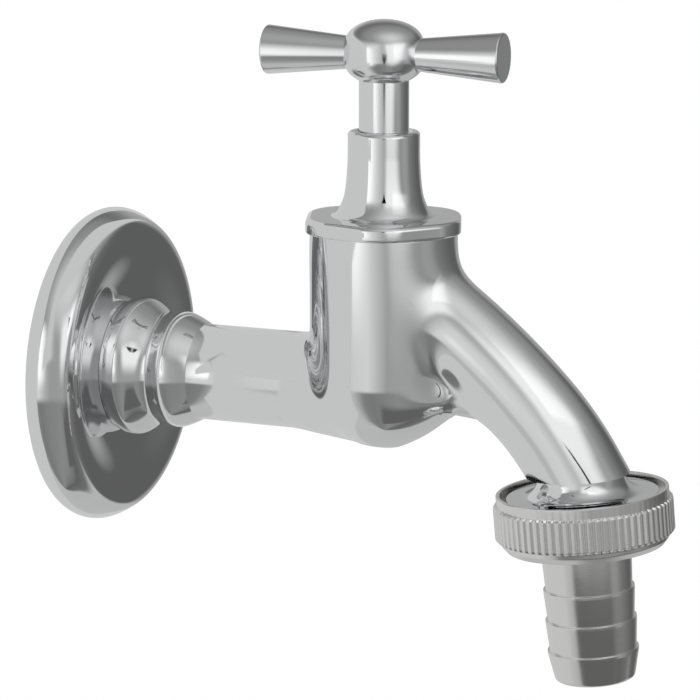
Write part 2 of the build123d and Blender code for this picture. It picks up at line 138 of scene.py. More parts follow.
# Camera of the photograph
CAMERA_AZIMUTH = 22.47
CAMERA_ELEVATION = 11.96
CAMERA_DISTANCE = 532.3
CAMERA_TARGET = (52.73, 0.0, 6.53)
CAMERA_LENS = 147.24
CAMERA_SHIFT = (-0.00156, 0.0002)
FLOOR_Z = -0.25

# Light of the tent round the horizon: pairs of degrees to the right of the camera and level, for the walls
# and for the paper below them, whose edge lies between two heights in degrees and sinks behind on the right
WALL_LIGHT = [
    (-180, 0.42), (-150, 0.52), (-60, 0.56), (-48, 0.67), (-25, 0.71),
    (5, 0.36), (40, 0.38), (55, 0.31), (66, 0.35), (76, 0.32),
    (88, 0.21), (104, 0.16), (122, 0.12), (138, 0.12), (150, 0.36),
    (180, 0.42),
]
PAPER_LIGHT = [
    (-180, 0.52), (-62, 0.54), (-50, 0.50), (-34, 0.24), (-20, 0.21),
    (20, 0.28), (50, 0.20), (66, 0.13), (98, 0.18), (112, 0.52),
    (128, 0.50), (180, 0.52),
]
PAPER_SINKS = [(-180, 0.0), (80, 0.0), (118, 1.0), (165, 1.0), (180, 0.0)]
PAPER_SINK = 13.0
PAPER_EDGE = (-20.0, -14.0)

# Roof of the tent: the heights between which it takes over from the walls, its level by the nearness to the
# lit side, and where that is, in degrees to the right of the camera and up
ROOF_EDGE = (14.0, 40.0)
ROOF_LIGHT = [(0, 0.14), (0.23, 0.18), (0.4, 0.25), (0.68, 0.31), (0.84, 0.42), (0.95, 0.58), (1, 0.68)]
LIT_SIDE = (31.0, 55.0)

# Cards that only the metal mirrors: name, place, spread, rise, soft edges, level and lean
LIGHT_CARDS = [
    ("left_panel", (-89.3, -32.5), (-200, 165), (-200, 125), (10, 25, 20, 10), 0.62, (0, 0)),
    ("near_panel", (-44, -16), (-70, 75), (32, 92), (10, 10, 6, 6), 0.62, (0, 0)),
    ("side_panel", (-44, -16), (38, 125), (8, 36), (8, 10, 4, 4), 0.62, (0, 0)),
    ("left_lamp", (-107, 126), (-26, 66), (-27, 118), (5, 80, 38, 44), 1.17, (0.07, 0.15)),
    ("right_lamp", (77, 151), (-90, 62), (-38, 193), (54, 76, 90, 88), 0.95, (0.15, -0.75)),
    ("high_lamp", (80, 67), (-58, 62), (43, 140), (16, 112, 9, 76), 1.15, (0, 0)),
    ("dark_front", (8, 70), (-22, 100), (-195, -30), (11, 21, 21, 26), 0.13, (0, 0)),
    ("lens", (0, 60), (18.6, -18.6), (40, 60), (1, 1, 2, 4), 0.0, (0.45, -0.45)),
    ("stand", (0, 70), (44.5, 51.5), (-5, 11), (1, 1, 3, 4), 0.03, (1.3, 1.3)),
]


class Wire:
    """A shader socket that takes part in plain arithmetic."""

    def __init__(self, nodes, socket):
        self.nodes = nodes
        self.socket = socket

    def sum(self, operation, *values):
        return self.nodes.add("ShaderNodeMath", {"operation": operation}, dict(enumerate(values)))

    def __add__(self, other):
        return self.sum("ADD", self, other)

    def __sub__(self, other):
        return self.sum("SUBTRACT", self, other)

    def __rsub__(self, other):
        return self.sum("SUBTRACT", other, self)

    def __mul__(self, other):
        return self.sum("MULTIPLY", self, other)

    def __truediv__(self, other):
        return self.sum("DIVIDE", self, other)

    __radd__ = __add__
    __rmul__ = __mul__

    def between(self, low, high):
        """0 below low, 1 above high and a soft step between them."""
        settings = {"interpolation_type": "SMOOTHSTEP"}
        return self.nodes.add(
            "ShaderNodeMapRange", settings, {"Value": self, "From Min": low, "From Max": high}
        )


class Nodes:
    """A node tree that is filled by calls."""

    def __init__(self, owner):
        owner.use_nodes = True
        self.tree = owner.node_tree
        self.tree.nodes.clear()

    def add(self, kind, settings=None, values=None, out=0):
        """Adds a node, sets it up, joins or sets its sockets and returns one output."""
        node = self.tree.nodes.new(kind)
        for key, value in (settings or {}).items():
            if key == "stops":
                self.set_stops(node.color_ramp, value)
            else:
                setattr(node, key, value)
        for key, value in (values or {}).items():
            if isinstance(value, Wire):
                self.tree.links.new(value.socket, node.inputs[key])
            else:
                node.inputs[key].default_value = value
        return Wire(self, node.outputs[out]) if len(node.outputs) else node

    @staticmethod
    def set_stops(ramp, stops):
        while len(ramp.elements) < len(stops):
            ramp.elements.new(1.0)
        for element, (place, level) in zip(ramp.elements, stops):
            element.position = place
            element.color = (level, level, level, 1.0)

    def coordinates(self, kind):
        """Object coordinates of a piece or, in the world, the direction of a ray."""
        wire = self.add("ShaderNodeTexCoord")
        wire.socket = wire.socket.node.outputs[kind]
        return wire

    def split(self, vector):
        first = self.add("ShaderNodeSeparateXYZ", None, {0: vector})
        node = first.socket.node
        return [Wire(self, node.outputs[axis]) for axis in "XYZ"]

    def noise(self, vector, scale, detail=2.0, rough=0.5):
        values = {"Vector": vector, "Scale": scale, "Detail": detail, "Roughness": rough}
        return self.add("ShaderNodeTexNoise", None, values)


def metal(name, base_color, rough_low, rough_high, rough_scale, bumps):
    """A bare metal finish: its roughness wanders, and bumps lists (height, distance) builders."""
    material = bpy.data.materials.new(name)
    nodes = Nodes(material)
    place = nodes.coordinates("Object")
    cloud = nodes.noise(place, rough_scale, 4.0, 0.6)
    normal = None
    for height, distance in bumps(nodes, place):
        values = {"Height": height, "Distance": distance, "Strength": 1.0}
        if normal is not None:
            values["Normal"] = normal
        normal = nodes.add("ShaderNodeBump", None, values)
    values = {
        "Base Color": base_color,
        "Metallic": 1.0,
        "Roughness": rough_low + (rough_high - rough_low) * cloud,
    }
    if normal is not None:
        values["Normal"] = normal
    surface = nodes.add("ShaderNodeBsdfPrincipled", None, values)
    nodes.add("ShaderNodeOutputMaterial", None, {"Surface": surface})
    return material


def cast_waviness(nodes, place):
    """Soft waves that polishing leaves on a casting, and a trace of haze."""
    yield nodes.noise(place, 45.0, 1.0), 0.00012
    yield nodes.noise(place, 160.0, 2.0), 0.000012


def turned_waviness(nodes, place):
    """Fainter waves on the turned and polished pieces."""
    yield nodes.noise(place, 60.0, 1.0), 0.00003


def outlet_place(nodes, place):
    """Distance along the outlet axis, in metres."""
    x, _, z = nodes.split(place)
    tilt = radians(OUTLET_TILT)
    return (x - OUTLET[0] * MM) * sin(tilt) - (z - OUTLET[1] * MM) * cos(tilt)


def turning_marks(nodes, place):
    """Fine rings that the lathe leaves on the nut and the tail."""
    along = nodes.add("ShaderNodeCombineXYZ", None, {"Z": outlet_place(nodes, place)})
    yield nodes.noise(along, 5200.0, 3.0, 0.7), 0.000012
    yield nodes.noise(place, 900.0, 2.0), 0.000003


def plain(nodes, place):
    """Fine grain of the machined inner pieces."""
    yield nodes.noise(place, 700.0, 2.0), 0.000004


def soft_solid(name, low, high, scale, roughness):
    """Rubber or fibre: a mottled colour with a fine grain."""
    material = bpy.data.materials.new(name)
    nodes = Nodes(material)
    place = nodes.coordinates("Object")
    mottle = nodes.noise(place, scale, 4.0, 0.6)
    colour = nodes.add(
        "ShaderNodeMix", {"data_type": "RGBA"}, {0: mottle, 6: (*low, 1.0), 7: (*high, 1.0)}, out=2
    )
    grain = nodes.add("ShaderNodeBump", None, {"Height": mottle, "Distance": 0.00003})
    surface = nodes.add(
        "ShaderNodeBsdfPrincipled",
        None,
        {"Base Color": colour, "Roughness": roughness, "Normal": grain},
    )
    nodes.add("ShaderNodeOutputMaterial", None, {"Surface": surface})
    return material


CAST_CHROME = metal("cast_chrome", (0.86, 0.865, 0.87, 1.0), 0.03, 0.09, 70.0, cast_waviness)
TURNED_CHROME = metal("turned_chrome", (0.86, 0.865, 0.87, 1.0), 0.03, 0.07, 90.0, turned_waviness)
HANDLE_CHROME = metal("handle_chrome", (0.86, 0.865, 0.87, 1.0), 0.1, 0.16, 90.0, turned_waviness)
SATIN_NICKEL = metal("satin_nickel", (0.84, 0.838, 0.83, 1.0), 0.14, 0.22, 300.0, turning_marks)
BRASS = metal("machined_brass", (0.72, 0.52, 0.25, 1.0), 0.2, 0.35, 300.0, plain)
STEEL = metal("plain_steel", (0.42, 0.42, 0.43, 1.0), 0.25, 0.4, 400.0, plain)
RUBBER = soft_solid("seal_rubber", (0.02, 0.02, 0.02), (0.045, 0.045, 0.045), 900.0, 0.6)
FIBRE = soft_solid("red_fibre", (0.28, 0.08, 0.05), (0.45, 0.15, 0.1), 1200.0, 0.8)


def finish_piece(name, mesh_bm, body, material, replaced=(), sharp=35.0):
    """Turns a bmesh in millimetres into a piece of the tap that rides on a body."""
    bmesh.ops.remove_doubles(mesh_bm, verts=mesh_bm.verts, dist=1e-4)
    bmesh.ops.recalc_face_normals(mesh_bm, faces=mesh_bm.faces)
    bmesh.ops.scale(mesh_bm, verts=mesh_bm.verts, vec=(MM, MM, MM))
    mesh = bpy.data.meshes.new(name)
    mesh_bm.to_mesh(mesh)
    mesh_bm.free()
    mesh.polygons.foreach_set("use_smooth", [True] * len(mesh.polygons))
    mesh.set_sharp_from_angle(angle=radians(sharp))
    piece = bpy.data.objects.new(name, mesh)
    bpy.context.scene.collection.objects.link(piece)
    mesh.materials.append(material)
    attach(piece, body)
    if replaced:
        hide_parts(*replaced)
    return piece


def quarter(start, end, first, steps=12):
    """Quarter ellipse from start to end that leaves start along its first or second axis."""
    points = []
    for i in range(steps + 1):
        a = pi / 2 * i / steps
        shares = (sin(a), 1 - cos(a)) if first == 0 else (1 - cos(a), sin(a))
        points.append(tuple(s + k * (e - s) for s, e, k in zip(start, end, shares)))
    return points


def through(points, steps=10, leave=None, arrive=None):
    """Cubic curve through points with even curvature; leave and arrive set its end directions."""
    knots = np.array(points, float)
    chords = np.hypot(*np.diff(knots, axis=0).T)
    last = len(knots) - 1
    system = np.zeros((last + 1, last + 1))
    target = np.zeros((last + 1, 2))
    for i in range(1, last):
        before, after = chords[i - 1], chords[i]
        system[i, i - 1 : i + 2] = 1 / before, 2 / before + 2 / after, 1 / after
        target[i] = 3 * (knots[i] - knots[i - 1]) / before**2 + 3 * (knots[i + 1] - knots[i]) / after**2
    for i, beside, direction in ((0, 1, leave), (last, last - 1, arrive)):
        if direction is None:
            chord = chords[min(i, beside)]
            system[i, i], system[i, beside] = 2 / chord, 1 / chord
            target[i] = 3 * (knots[max(i, beside)] - knots[min(i, beside)]) / chord**2
        else:
            system[i, i] = 1.0
            target[i] = np.array(direction) / np.hypot(*direction)
    slopes = np.linalg.solve(system, target)
    curve = []
    for i, chord in enumerate(chords):
        for t in np.arange(steps) / steps:
            here = (2 * t**3 - 3 * t**2 + 1) * knots[i] + (3 * t**2 - 2 * t**3) * knots[i + 1]
            bend = (t**3 - 2 * t**2 + t) * slopes[i] + (t**3 - t**2) * slopes[i + 1]
            curve.append(tuple(here + chord * bend))
    return [*curve, tuple(points[-1])]


def eased(corners, steps=4):
    """Profile whose corners (first, second, radius) are rounded.

    A point beside each rounding holds the flat next to it.
    """
    points = []
    for i, (x, y, radius) in enumerate(corners):
        if radius == 0 or i in (0, len(corners) - 1):
            points.append((x, y))
            continue
        here = Vector((x, y))
        before, after = (Vector(corners[k][:2]) - here for k in (i - 1, i + 1))
        room = [side.length for side in (before, after)]
        before.normalize()
        after.normalize()
        half = before.angle(after) / 2
        reach = radius / abs(np.tan(half))
        centre = here + (before + after).normalized() * radius / sin(half)
        start = here + before * reach - centre
        turn = start.angle_signed(here + after * reach - centre)
        if room[0] > 2 * (reach + HOLD):
            points.append(tuple(here + before * (reach + HOLD)))
        for k in range(steps + 1):
            a = -turn * k / steps
            points.append(
                (
                    centre.x + start.x * cos(a) - start.y * sin(a),
                    centre.y + start.x * sin(a) + start.y * cos(a),
                )
            )
        if room[1] > 2 * (reach + HOLD):
            points.append(tuple(here + after * (reach + HOLD)))
    return points


def lathe(profile, origin, axis, side, steps=FULL_TURN_STEPS, target=None):
    """Spins a profile of (radius, distance along the axis) about an axis."""
    mesh_bm = target or bmesh.new()
    origin, axis, side = Vector(origin), Vector(axis), Vector(side)
    verts = [mesh_bm.verts.new(origin + side * r + axis * s) for r, s in profile]
    edges = [mesh_bm.edges.new(pair) for pair in zip(verts, verts[1:])]
    bmesh.ops.spin(
        mesh_bm,
        geom=verts + edges,
        cent=origin,
        axis=axis,
        angle=tau,
        steps=steps,
        use_merge=True,
    )
    bmesh.ops.remove_doubles(mesh_bm, verts=mesh_bm.verts, dist=1e-4)
    return mesh_bm


TILT = radians(OUTLET_TILT)
OUTLET_ORIGIN = Vector((OUTLET[0], 0, OUTLET[1]))
OUTLET_DOWN = Vector((sin(TILT), 0, -cos(TILT)))
OUTLET_SIDE = Vector((cos(TILT), 0, sin(TILT)))
ALONG_X = dict(origin=(0, 0, 0), axis=(1, 0, 0), side=(0, 0, 1))
ALONG_SPINDLE = dict(origin=(SPINDLE_X, 0, 0), axis=(0, 0, 1), side=(1, 0, 0))
ALONG_OUTLET = dict(origin=OUTLET_ORIGIN, axis=OUTLET_DOWN, side=OUTLET_SIDE)


def wall_flange():
    """Pressed rosette: skirt, rolled rim, shallow dish and a flat face with the hole."""

    def skin(inset):
        lean = radians(29.0)
        shoulder = (28.95 - cos(lean) * inset, 5.6 - sin(lean) * inset)
        crest = (24.3, 8.0 - inset)
        roll = [s + k * (c - s) for s, c, k in zip(shoulder, crest, (0.29, 0.71))]
        rim = [(29.3 - inset, 0.0), (30.1 - inset, 2.0), shoulder, roll, crest]
        dish = through([crest, (14.5, 6.3 - inset)], 24, leave=(-1, 0), arrive=(-1, 0))
        return [*through(rim, 12, leave=(1, 1), arrive=(-1, 0)), *dish[1:]]

    face, back = skin(0), skin(1.0)
    hole = eased([(12.0, 6.3, 0), (10.6, 6.3, 0.25), (10.6, 5.3, 0.25), (12.0, 5.3, 0)])
    profile = [*face, *hole, *reversed(back), face[0]]
    mesh_bm = lathe(profile, **ALONG_X, steps=256)
    finish_piece("wall_rosette", mesh_bm, "body", TURNED_CHROME, ["wall_flange"])


def inlet_tail():
    """Threaded tail with its bore, hidden by the wall in use."""
    rows = int(TAIL_LENGTH / THREAD_PITCH * 12)
    profile = [
        (INLET_BORE_R, BEAD_BACK),
        (INLET_BORE_R, 0.3 - TAIL_LENGTH),
        (INLET_BORE_R + 0.3, -TAIL_LENGTH),
        (TAIL_THREAD_R - 1.2, -TAIL_LENGTH),
    ]
    profile += [(TAIL_THREAD_R, -TAIL_LENGTH * (1 - i / rows)) for i in range(rows + 1)]
    profile += [(TAIL_SHANK_R, 0.1), (TAIL_SHANK_R, BEAD_BACK), (INLET_BORE_R, BEAD_BACK)]
    mesh_bm = lathe(profile, **ALONG_X, steps=144)
    for vert in mesh_bm.verts:
        x, radius = vert.co.x, sqrt(vert.co.y**2 + vert.co.z**2)
        if x > 0 or radius < TAIL_THREAD_R - 0.01:
            continue
        turn = atan2(vert.co.z, vert.co.y) / tau
        phase = (x / THREAD_PITCH - turn) % 1.0
        groove = 1 - abs(2 * phase - 1) * 1.15
        groove = min(max(groove, 0.06), 0.94)
        lead_in = min(1.0, (x + TAIL_LENGTH) / 1.2)
        run_out = min(1.0, -x / 0.9)
        target = TAIL_THREAD_R - THREAD_DEPTH * groove * run_out
        target = min(target, TAIL_THREAD_R - 1.2 * (1 - lead_in))
        vert.co.y *= target / radius
        vert.co.z *= target / radius
    finish_piece("inlet_tail", mesh_bm, "body", TURNED_CHROME)


def spout_line():
    """Pieces of the spout's centre line: its start, then each bend's centre, radius and angles."""
    slope = radians(SPOUT_SLOPE)
    heading = Vector((cos(slope), -sin(slope)))
    start = Vector(SPOUT_START)
    place = start + SPOUT_RUN * heading
    bends = []
    travelled = SPOUT_RUN
    for length, turn in SPOUT_BENDS:
        radius = length / radians(turn)
        centre = place + radius * Vector((heading.y, -heading.x))
        from_angle = atan2(place.y - centre.y, place.x - centre.x)
        bends.append((centre, radius, from_angle, radians(turn), travelled))
        slope += radians(turn)
        heading = Vector((cos(slope), -sin(slope)))
        place = centre + radius * Vector((-heading.y, heading.x))
        travelled += length
    return start, bends, place, heading, travelled


def spout_skin(x, y, z):
    """Distance outside the spout, whose radius grows towards its lip."""
    start, bends, end, end_heading, total = spout_line()
    slope = radians(SPOUT_SLOPE)
    best = np.full(x.shape, 1e9)
    run = np.zeros(x.shape)

    def keep(nearest_x, nearest_z, along):
        gap = np.hypot(x - nearest_x, z - nearest_z)
        closer = gap < best
        best[closer] = gap[closer]
        run[closer] = along[closer]

    along = (x - start.x) * cos(slope) - (z - start.y) * sin(slope)
    along = np.clip(along, -SPOUT_SPARE, SPOUT_RUN)
    keep(start.x + along * cos(slope), start.y - along * sin(slope), along)
    for centre, radius, from_angle, turn, travelled in bends:
        angle = from_angle - np.arctan2(z - centre.y, x - centre.x)
        angle = np.clip((angle + pi) % tau - pi, 0, turn)
        keep(
            centre.x + radius * np.cos(from_angle - angle),
            centre.y + radius * np.sin(from_angle - angle),
            travelled + radius * angle,
        )
    along = (x - end.x) * end_heading.x + (z - end.y) * end_heading.y
    along = np.clip(along, 0, SPOUT_SPARE)
    keep(end.x + along * end_heading.x, end.y + along * end_heading.y, total + along)
    share = np.clip(run / total, 0, 1.2)
    radius = SPOUT_START_R + (SPOUT_END_R - SPOUT_START_R) * share
    return np.hypot(best, y) - radius


def pipe_skin(x, y, z):
    """Distance outside the pipe and the fairing that drops towards the bowl."""
    share = np.clip((x - FAIRING_START) / (SPINDLE_X - FAIRING_START), 0, 1.2)
    soft = np.clip(share / 0.3, 0, 1)
    drop = FAIRING_DROP * share * (1 - (1 - soft) ** 2 * 0.5)
    beyond = np.maximum(x - SPINDLE_X, 0)
    return np.sqrt(y**2 + (z + drop) ** 2 + beyond**2) - (PIPE_R + drop)


def barrel_skin(x, y, z):
    """Distance outside the barrel and the bowl below it."""
    below = np.minimum(z - BOWL_Z, 0)
    return np.sqrt((x - SPINDLE_X) ** 2 + y**2 + below**2) - BARREL_R


def blended(first, second, width):
    """Union of two skins with a soft fillet, smooth to its second derivative."""
    overlap = np.maximum(width - np.abs(first - second), 0) / width
    return np.minimum(first, second) - overlap**3 * width / 6


def casting_skin(points):
    """Distance outside the casting round the barrel, with its fillets."""
    x, y, z = points.T
    fade = np.clip((z + 9.5) / 6.0, 0, 1)
    pipe_fillet = 0.4 + 4.2 * fade * fade * (3 - 2 * fade)
    skin = blended(pipe_skin(x, y, z), barrel_skin(x, y, z), pipe_fillet)
    low = np.clip((CROTCH_Z[1] - z) / (CROTCH_Z[1] - CROTCH_Z[0]), 0, 1)
    spout_fillet = SPOUT_FILLET + (CROTCH_FILLET - SPOUT_FILLET) * low * low * (3 - 2 * low)
    return blended(skin, spout_skin(x, y, z), spout_fillet)


def settle(points, rounds):
    """Moves points along the skin's slope until they lie on the casting."""
    reach = 1e-3
    for _ in range(rounds):
        level = casting_skin(points)
        slope = np.empty_like(points)
        for axis in range(3):
            step = np.zeros(3)
            step[axis] = reach
            slope[:, axis] = (casting_skin(points + step) - casting_skin(points - step)) / (2 * reach)
        points = points - (level / (slope**2).sum(axis=1))[:, None] * slope
    return points


def cut_off(mesh_bm, place, outward):
    """Cuts everything beyond a plane away and returns the edges of the cut."""
    cut = bmesh.ops.bisect_plane(
        mesh_bm,
        geom=[*mesh_bm.verts, *mesh_bm.edges, *mesh_bm.faces],
        dist=1e-5,
        plane_co=place,
        plane_no=outward,
        clear_outer=True,
    )
    return [item for item in cut["geom_cut"] if isinstance(item, bmesh.types.BMEdge)]


def junction():
    """Rough union of pipe, barrel, bowl and spout, which the casting then remeshes and settles on the skin.
    """
    rough = bmesh.new()
    upright = Matrix.Translation((SPINDLE_X, 0, (BARREL_TOP + BOWL_Z + 2) / 2))
    bmesh.ops.create_cone(
        rough, cap_ends=True, segments=96, radius1=BARREL_R, radius2=BARREL_R,
        depth=BARREL_TOP + 2 - BOWL_Z, matrix=upright,
    )
    bmesh.ops.create_uvsphere(
        rough,
        u_segments=96,
        v_segments=48,
        radius=BARREL_R,
        matrix=Matrix.Translation((SPINDLE_X, 0, BOWL_Z)),
    )
    lying = Matrix.Translation((SPINDLE_X / 2 + 14, 0, -0.3)) @ Matrix.Rotation(pi / 2, 4, "Y")
    bmesh.ops.create_cone(
        rough, cap_ends=True, segments=96, radius1=PIPE_R, radius2=PIPE_R, depth=SPINDLE_X - 28, matrix=lying
    )
    start, bends, end, end_heading, _ = spout_line()
    stations = [start, start + Vector((cos(radians(SPOUT_SLOPE)), -sin(radians(SPOUT_SLOPE)))) * SPOUT_RUN]
    for centre, radius, from_angle, turn, _ in bends:
        for k in range(1, 9):
            a = from_angle - turn * k / 8
            stations.append(centre + radius * Vector((cos(a), sin(a))))
    stations.append(end + end_heading * SPOUT_SPARE)
    ring = None
    for i, station in enumerate(stations):
        ahead = stations[min(i + 1, len(stations) - 1)] - stations[max(i - 1, 0)]
        ahead.normalize()
        turn = Matrix(((0, -ahead.y, ahead.x, 0), (1, 0, 0, 0), (0, ahead.x, ahead.y, 0), (0, 0, 0, 1)))
        made = bmesh.ops.create_circle(
            rough, cap_ends=i in (0, len(stations) - 1), segments=64, radius=SPOUT_START_R,
            matrix=Matrix.Translation((station.x, 0, station.y)) @ turn,
        )
        edges = [e for e in rough.edges if all(v in made["verts"] for v in e.verts)]
        if ring:
            bmesh.ops.bridge_loops(rough, edges=ring + edges)
        ring = edges
    bmesh.ops.recalc_face_normals(rough, faces=rough.faces)
    return rough


def remeshed(rough, voxel):
    """Voxel remesh of overlapping closed shapes."""
    mesh = bpy.data.meshes.new("rough")
    rough.to_mesh(mesh)
    rough.free()
    holder = bpy.data.objects.new("rough", mesh)
    bpy.context.scene.collection.objects.link(holder)
    remesh = holder.modifiers.new("remesh", "REMESH")
    remesh.mode = "VOXEL"
    remesh.voxel_size = voxel
    shaped = bpy.data.meshes.new_from_object(holder.evaluated_get(bpy.context.evaluated_depsgraph_get()))
    bpy.data.objects.remove(holder)
    mesh_bm = bmesh.new()
    mesh_bm.from_mesh(shaped)
    return mesh_bm


def body_casting():
    """The casting: beads and pipe, the blended middle, and the outlet."""
    mesh_bm = remeshed(junction(), 0.42)
    for _ in range(4):
        bmesh.ops.smooth_vert(
            mesh_bm, verts=mesh_bm.verts, factor=0.5, use_axis_x=True, use_axis_y=True, use_axis_z=True
        )
        points = settle(np.array([v.co[:] for v in mesh_bm.verts]), 3)
        for vert, point in zip(mesh_bm.verts, points):
            vert.co = point
    lip = OUTLET_ORIGIN + OUTLET_DOWN * LIP_S
    pipe_cut = cut_off(mesh_bm, (PIPE_SEAM, 0, 0), (-1, 0, 0))
    barrel_cut = cut_off(mesh_bm, (0, 0, BARREL_SEAM), (0, 0, 1))
    lip_cut = cut_off(mesh_bm, lip, OUTLET_DOWN)
    for edge in pipe_cut:
        for vert in edge.verts:
            reach = PIPE_R / sqrt(vert.co.y**2 + vert.co.z**2)
            vert.co.y *= reach
            vert.co.z *= reach

    def join(profile, place, loop, steps):
        """Turns a profile whose first point is the open ring, and bridges it to a cut loop."""
        known = set(mesh_bm.verts)
        lathe(profile, **place, steps=steps, target=mesh_bm)
        fresh = [e for e in mesh_bm.edges if e.is_boundary and not any(v in known for v in e.verts)]
        bmesh.ops.bridge_loops(mesh_bm, edges=[e for e in loop if e.is_valid] + fresh)

    beads = [
        *through(
            [
                (12.3, BEAD_BACK),
                (13.4, 9.45),
                (11.8, 12.45),
                (10.45, 14.9),
                (11.05, 17.9),
                (10.35, 20.4),
                (PIPE_R, 22.9),
            ],
            12,
            leave=(0.5, 1),
            arrive=(-0.6, 1),
        ),
        (PIPE_R, PIPE_SEAM - 0.5),
    ]
    inlet = [(0, INLET_BORE_END), (INLET_BORE_R, INLET_BORE_END), (INLET_BORE_R, BEAD_BACK), *beads]
    join(list(reversed(inlet)), ALONG_X, pipe_cut, FULL_TURN_STEPS)
    barrel = [
        (BARREL_R, BARREL_SEAM + 0.4),
        *eased(
            [(BARREL_R, BARREL_SEAM + 0.8, 0), (BARREL_R, BARREL_TOP, 0.2), (BONNET_BORE_R, BARREL_TOP, 0)]
        ),
        (BONNET_BORE_R, CHAMBER_TOP),
        (CHAMBER_R, CHAMBER_TOP),
        (CHAMBER_R, WEB_TOP),
        (SEAT_RIM_R, WEB_TOP),
        (SEAT_RIM_R, SEAT_TOP),
        (SEAT_BORE_R, SEAT_TOP),
        (SEAT_BORE_R, 0),
        (0, 0),
    ]
    join(barrel, ALONG_SPINDLE, barrel_cut, FULL_TURN_STEPS)
    outlet = [
        *quarter((NECK_R, LIP_S), (11.6, 0.7), 1),
        *eased(
            [
                (13.0, 0.7, 0),
                (13.95, 0.7, 0.15),
                (13.95, 1.6, 0.15),
                (13.22, 1.6, 0),
                (13.22, 5.8, 0.6),
                (6.6, 5.8, 0.3),
                (6.6, -2.0, 0),
                (0, -2.0, 0),
            ]
        ),
    ]
    join(outlet, ALONG_OUTLET, lip_cut, FULL_TURN_STEPS)
    finish_piece("tap_casting", mesh_bm, "body", CAST_CHROME, ["body_casting"], sharp=50.0)


def bonnet():
    """Hexagon whose corners are polished round, and the turned neck above it."""
    plate = bmesh.new()
    turn = Matrix.Translation((SPINDLE_X, 0, BARREL_TOP)) @ Matrix.Rotation(radians(HEX_TURN - 90), 4, "Z")
    bmesh.ops.create_circle(plate, cap_ends=True, segments=6, radius=HEX_FLATS / 2 / cos(pi / 6), matrix=turn)
    bmesh.ops.bevel(
        plate,
        geom=plate.verts[:],
        affect="VERTICES",
        offset=HEX_CORNER_R * tan(pi / 6),
        segments=14,
        profile=0.5,
    )
    faces = bmesh.ops.extrude_face_region(plate, geom=plate.faces[:])["geom"]
    top = [item for item in faces if isinstance(item, bmesh.types.BMVert)]
    bmesh.ops.translate(plate, verts=top, vec=(0, 0, HEX_TOP - BARREL_TOP))
    bmesh.ops.recalc_face_normals(plate, faces=plate.faces)
    for height, edge in zip((BARREL_TOP, HEX_TOP), HEX_EDGES):
        rim = [e for e in plate.edges if all(abs(v.co.z - height) < 1e-4 for v in e.verts)]
        bmesh.ops.bevel(plate, geom=rim, affect="EDGES", offset=edge, segments=6, profile=0.5)
    core = lathe([(0, 28.5), (9.3, 28.5), (9.3, 33.5), (0, 33.5)], **ALONG_SPINDLE)
    plate = combined(plate, core, "DIFFERENCE")
    neck = [
        *through(
            [
                (10.0, HEX_TOP),
                (8.9, HEX_TOP + 0.35),
                (8.1, HEX_TOP + 1.5),
                (7.42, HEX_TOP + 3.15),
                (7.0, HEX_TOP + 5.3),
                (6.78, HEX_TOP + 7.6),
                (6.6, HEX_TOP + 11.0),
            ],
            6,
            leave=(-1, 0),
        ),
        *eased([(6.6, 44.0, 0), (6.6, 47.9, 0.7), (5.3, 47.9, 0.1), (4.85, 47.4, 0), (4.85, 40.6, 0)]),
        (4.0, 40.6),
        (4.0, 31.2),
        (4.98, 31.2),
        (4.98, 19.0),
        (7.6, 19.0),
        (7.6, 24.0),
        (9.9, 24.0),
        (10.48, 24.6),
        (10.48, 31.9),
        (10.0, HEX_TOP),
    ]
    lathe(neck, **ALONG_SPINDLE, target=plate)
    finish_piece("bonnet_head", plate, "body", TURNED_CHROME, ["bonnet"], sharp=30.0)


def combined(first, second, operation):
    """Exact boolean of two bmeshes in millimetres."""
    holders = []
    for mesh_bm in (first, second):
        mesh = bpy.data.meshes.new("part")
        mesh_bm.to_mesh(mesh)
        mesh_bm.free()
        holder = bpy.data.objects.new("part", mesh)
        bpy.context.scene.collection.objects.link(holder)
        holders.append(holder)
    boolean = holders[0].modifiers.new("boolean", "BOOLEAN")
    boolean.operation = operation
    boolean.solver = "EXACT"
    boolean.object = holders[1]
    shaped = bpy.data.meshes.new_from_object(
        holders[0].evaluated_get(bpy.context.evaluated_depsgraph_get())
    )
    for holder in holders:
        bpy.data.objects.remove(holder)
    mesh_bm = bmesh.new()
    mesh_bm.from_mesh(shaped)
    return mesh_bm


